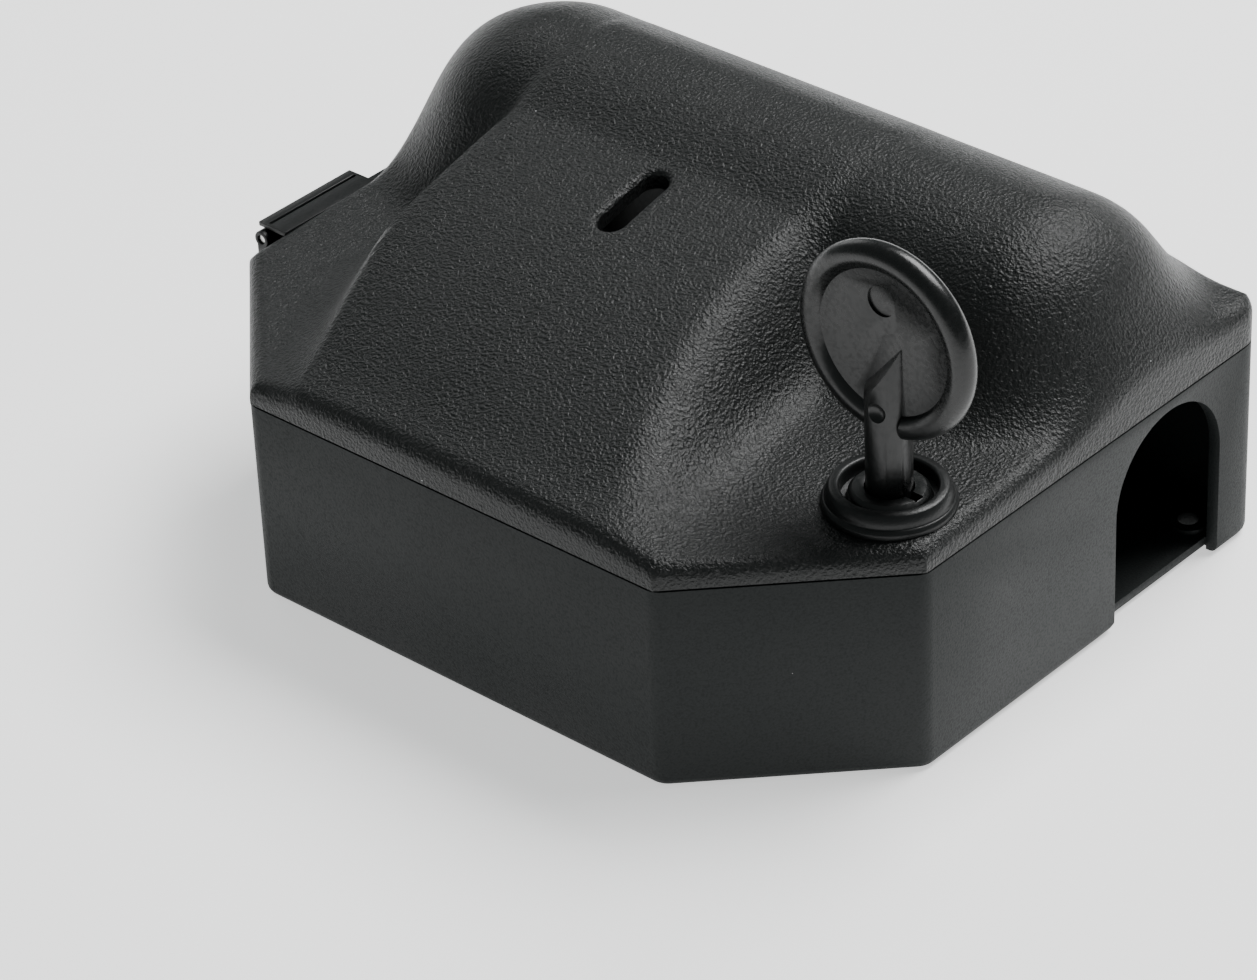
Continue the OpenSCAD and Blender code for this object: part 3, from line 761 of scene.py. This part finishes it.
@dataclass
class Lid:
    """The lid with its viewing slot and the hole for the lock."""

    shop: Workshop
    wall: float = 2.6 * MM
    step: float = 1.5 * MM
    fine_step: float = 0.45 * MM
    slot_at: tuple[float, float] = (-12 * MM, -1.5 * MM)
    slot_length: float = 18 * MM
    slot_r: float = 3.1 * MM
    lip_r: float = 1.1 * MM
    lip_start: float = 0.05 * MM
    lip_reach: float = 6 * MM
    lip_fade: float = 8 * MM
    tool_h: float = 30 * MM
    lock_r: float = 11 * MM
    form: LidForm = field(init=False)

    def __post_init__(self) -> None:
        """Take the lid's outer sizes from its node."""
        low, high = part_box("lid_shell")
        self.form = LidForm(half_w=high.x, half_d=high.y, seam=low.z)

    def lines(self, half: float, around: float, reach: float) -> np.ndarray:
        """Place grid lines: close together at the rim and around the slot.

        Args:
            half: Half the width covered.
            around: Centre of the slot.
            reach: Half the stretch with fine lines.

        Returns:
            Places from -half to half.
        """
        edge = np.array([0, 0.15, 0.45, 0.9, 1.5, 2.3, 3.3]) * MM
        low, high = -half + edge[-1], half - edge[-1]
        places = [low]
        while places[-1] < high:
            near = abs(places[-1] - around) < reach
            places.append(places[-1] + (self.fine_step if near else self.step))
        inner = np.array(places[:-1])
        inner = low + (inner - low) * (high - low) / (inner[-1] - low)
        return np.concatenate([-half + edge[:-1], inner, (half - edge[:-1])[::-1]])

    def slot_distance(self, x: np.ndarray, y: np.ndarray) -> np.ndarray:
        """Give the distance outside the slot's outline."""
        straight = self.slot_length / 2 - self.slot_r
        dy = np.maximum(np.abs(y - self.slot_at[1]) - straight, 0)
        return np.hypot(x - self.slot_at[0], dy) - self.slot_r

    def surface(self) -> bpy.types.Object:
        """Make the open outer surface from a grid.

        Returns:
            The surface, with its border at the rim.
        """
        rows = self.lines(self.form.half_d, self.slot_at[1], self.slot_length / 2 + 2 * MM)
        share = self.lines(self.form.half_w, self.slot_at[0], self.slot_r + 2 * MM)
        deselect_all()
        bpy.ops.mesh.primitive_grid_add(
            x_subdivisions=len(share) - 1, y_subdivisions=len(rows) - 1, size=2, location=(0, 0, 0)
        )
        piece = named("lid_look")
        places = np.zeros(len(piece.data.vertices) * 3)
        piece.data.vertices.foreach_get("co", places)
        places = places.reshape(-1, 3)
        column = np.rint((places[:, 0] + 1) / 2 * (len(share) - 1)).astype(int)
        row = np.rint((places[:, 1] + 1) / 2 * (len(rows) - 1)).astype(int)
        y = rows[row]
        half = self.form.half_width(y)
        x = share[column]
        rim = self.form.half_w - np.abs(x)
        rim_r = self.form.rim_r
        squeeze = (half - rim_r) / (self.form.half_w - rim_r)
        x = np.where(rim < rim_r, np.sign(x) * (half - rim), x * squeeze)
        near_slot = np.exp(-np.maximum(self.slot_distance(x, y) - self.lip_reach, 0) / self.lip_fade)
        z = self.form.height(x, y)
        d = np.clip(self.slot_distance(x, y) - self.lip_start, 0, self.lip_r)
        z = z - (self.lip_r - np.sqrt(self.lip_r**2 - (self.lip_r - d) ** 2)) * near_slot
        piece.data.vertices.foreach_set("co", np.stack([x, y, z], 1).ravel())
        piece.data.update()
        return piece

    def build(self) -> bpy.types.Object:
        """Build the lid.

        Returns:
            The fitted lid.
        """
        piece = self.surface()
        with edit_mode(piece, "EDGE"):
            bpy.ops.mesh.select_non_manifold(extend=False)
            bpy.ops.mesh.extrude_region_move(TRANSFORM_OT_translate={"value": (0, 0, -1 * MM)})
            mesh = bmesh.from_edit_mesh(piece.data)
            for vertex in mesh.verts:
                if vertex.select:
                    vertex.co.z = self.form.seam
            bmesh.update_edit_mesh(piece.data)
        apply_modifier(piece, "SOLIDIFY", thickness=self.wall, offset=-1.0, use_rim=True,
                       use_even_offset=True, thickness_clamp=0.0)
        tidy_normals(piece)
        self.cut_slot(piece)
        collar_low, collar_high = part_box("lock_collar")
        centre = (collar_low + collar_high) / 2
        cut(piece, add_cylinder("lock_hole", self.lock_r, self.tool_h, centre, sides=96))
        smooth(piece, 30)
        finishes = self.shop.finishes
        return self.shop.fit(piece, finishes.lid, "lid", "lid_shell")

    def cut_slot(self, piece: bpy.types.Object) -> None:
        """Cut the viewing slot through the lid."""
        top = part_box("lid_shell")[1].z
        x, y = self.slot_at
        straight = self.slot_length / 2 - self.slot_r
        tool = add_cylinder("slot_tool", self.slot_r, self.tool_h, (x, y, top - 8 * MM), sides=48)
        with edit_mode(tool, "VERT"):
            mesh = bmesh.from_edit_mesh(tool.data)
            for vertex in mesh.verts:
                vertex.co.y += math.copysign(straight, vertex.co.y - y)
            bmesh.update_edit_mesh(tool.data)
        cut(piece, tool)


# ---------------------------------------------------------------- base


@dataclass
class BaseBox:
    """The base of the box, its floor, ribs and entrances."""

    shop: Workshop
    foot_r: float = 1.7 * MM
    arch_edge: float = 0.35 * MM

    def build(self) -> None:
        """Build the base from its node's own corners, with rounded edges."""
        piece = self.shop.merged_copy("base_shell")
        low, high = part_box("base_shell")
        form = LidForm(half_w=high.x, half_d=high.y, seam=high.z)

        def on_outline(place: Vector) -> bool:
            """Tell whether a point lies on the outer wall."""
            x, y = np.array([place.x]), np.array([place.y])
            return abs(float(form.inset(x, y)[0])) < 0.9 * MM

        def foot_edge(edge: bmesh.types.BMEdge) -> bool:
            """Tell whether an edge runs round the foot or the top of the outer wall."""
            a, b = (v.co for v in edge.verts)
            level = abs(a.z - b.z) < 1e-5 and a.z < low.z + 1e-5
            return level and on_outline(a) and on_outline(b) and (a - b).length > 0.2 * MM

        with edit_mode(piece, "EDGE"):
            if select_edges(piece, foot_edge):
                bpy.ops.mesh.bevel(offset=self.foot_r, segments=4, affect="EDGES", clamp_overlap=True)
        apply_modifier(piece, "BEVEL", width=self.arch_edge, segments=2, limit_method="ANGLE",
                       angle_limit=math.radians(50), use_clamp_overlap=True)
        smooth(piece, 40)
        self.shop.fit(piece, self.shop.finishes.base, "base", "base_shell")


@dataclass
class Hinge:
    """The two leaves and the pin at the left end."""

    shop: Workshop

    def build(self) -> None:
        """Build the hinge."""
        finishes = self.shop.finishes
        self.shop.softened("hinge_leaf_base", finishes.lock, 0.3)
        self.shop.softened("hinge_leaf_lid", finishes.lock, 0.3)
        self.shop.softened("hinge_pin", finishes.zinc, 0.2)


# ---------------------------------------------------------------- lock and key


@dataclass
class Lock:
    """The lock's collar, plug and cam."""

    shop: Workshop

    def build(self) -> None:
        """Build the lock."""
        finishes = self.shop.finishes
        self.shop.softened("lock_collar", finishes.lock, 0.35, 30)
        self.shop.softened("lock_plug", finishes.key, 0.25, 40)
        for node in ("lock_retainer", "lock_cam", "lock_screw"):
            self.shop.softened(node, finishes.zinc, 0.15)


@dataclass
class Key:
    """The round-headed key."""

    shop: Workshop

    def build(self) -> None:
        """Build the key."""
        self.shop.softened("key", self.shop.finishes.key, 0.3)


# ---------------------------------------------------------------- trap


@dataclass
class SnapTrap:
    """The snap trap on the box's floor."""

    shop: Workshop

    def build(self) -> None:
        """Build the trap's pieces."""
        finishes = self.shop.finishes
        for node in ("trap_base", "trip_pedal", "bait_cup", "catch_lever"):
            self.shop.softened(node, finishes.trap, 0.3)
        self.shop.softened("trap_axle", finishes.trap, 0.2)
        self.shop.softened("strike_sleeve", finishes.yellow, 0.2)
        for node in ("hammer_wire", "catch_wire", "spring_left", "spring_right"):
            self.shop.softened(node, finishes.chrome, 0.1)
        for node in ("trap_screws", "pedal_pin", "catch_pin"):
            self.shop.softened(node, finishes.zinc, 0.15)


# ---------------------------------------------------------------- studio


@dataclass
class Studio:
    """The camera, the pale floor and the soft lights."""

    eye: Point = (0.55505, -0.61933, 0.55691)
    yaw: float = math.radians(42.778)
    pitch: float = math.radians(33.349)
    roll: float = math.radians(-2.602)
    lens: float = 144.43

    def camera(self) -> None:
        """Place the camera."""
        data = bpy.data.cameras.new("studio_camera")
        data.lens = self.lens
        data.sensor_width = 36.0
        data.clip_end = 20.0
        camera = bpy.data.objects.new("studio_camera", data)
        bpy.context.scene.collection.objects.link(camera)
        back = Vector((math.sin(self.yaw) * math.cos(self.pitch),
                       -math.cos(self.yaw) * math.cos(self.pitch), math.sin(self.pitch)))
        right = Vector((math.cos(self.yaw), math.sin(self.yaw), 0))
        up = back.cross(right)
        c, s = math.cos(self.roll), math.sin(self.roll)
        turned_right = right * c + up * s
        turned_up = up * c - right * s
        matrix = Matrix((turned_right, turned_up, back)).transposed().to_4x4()
        matrix.translation = Vector(self.eye)
        camera.matrix_world = matrix
        bpy.context.scene.camera = camera

    def floor(self) -> None:
        """Lay the pale floor."""
        deselect_all()
        bpy.ops.mesh.primitive_plane_add(size=8, location=(0, 0, -0.0003))
        floor = named("studio_floor")
        material = bpy.data.materials.new("pale_floor")
        material.use_nodes = True
        shader = material.node_tree.nodes["Principled BSDF"]
        shader.inputs["Base Color"].default_value = (0.93, 0.93, 0.93, 1)
        shader.inputs["Roughness"].default_value = 0.9
        shader.inputs["Emission Color"].default_value = (1, 1, 1, 1)
        shader.inputs["Emission Strength"].default_value = 0.8
        floor.data.materials.append(material)

    def area(self, name: str, at: Point, size: tuple[float, float], power: float,
             aim: Point = (0, 0, 0.04)) -> None:
        """Add a soft rectangular light.

        Args:
            name: The light's name.
            at: Its centre.
            size: Its width and height.
            power: Its power in watts.
            aim: The point it faces.
        """
        data = bpy.data.lights.new(name, "AREA")
        data.shape = "RECTANGLE"
        data.size, data.size_y = size
        data.energy = power
        light = bpy.data.objects.new(name, data)
        bpy.context.scene.collection.objects.link(light)
        light.location = at
        light.rotation_euler = (Vector(aim) - Vector(at)).to_track_quat("-Z", "Y").to_euler()

    def build(self) -> None:
        """Set up the whole studio."""
        self.camera()
        self.floor()
        world = bpy.data.worlds.new("studio_world")
        bpy.context.scene.world = world
        world.use_nodes = True
        background = world.node_tree.nodes["Background"]
        background.inputs["Color"].default_value = (0.90, 1.0, 0.99, 1)
        background.inputs["Strength"].default_value = 0.2
        self.area("softbox_top", (0.2, 1.0, 1.6), (1.3, 1.1), 62)
        self.area("softbox_left", (-1.6, 0.7, 0.7), (0.8, 0.8), 3)


# ---------------------------------------------------------------- main


def main() -> None:
    """Build the whole scene in order."""
    logging.basicConfig(level=logging.INFO, format="%(name)s: %(message)s")
    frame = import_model()
    Studio().build()
    shop = Workshop(frame, Finishes())
    for part in (Lid(shop), BaseBox(shop), Hinge(shop), Lock(shop), Key(shop), SnapTrap(shop)):
        part.build()


if __name__ == "__main__":
    main()
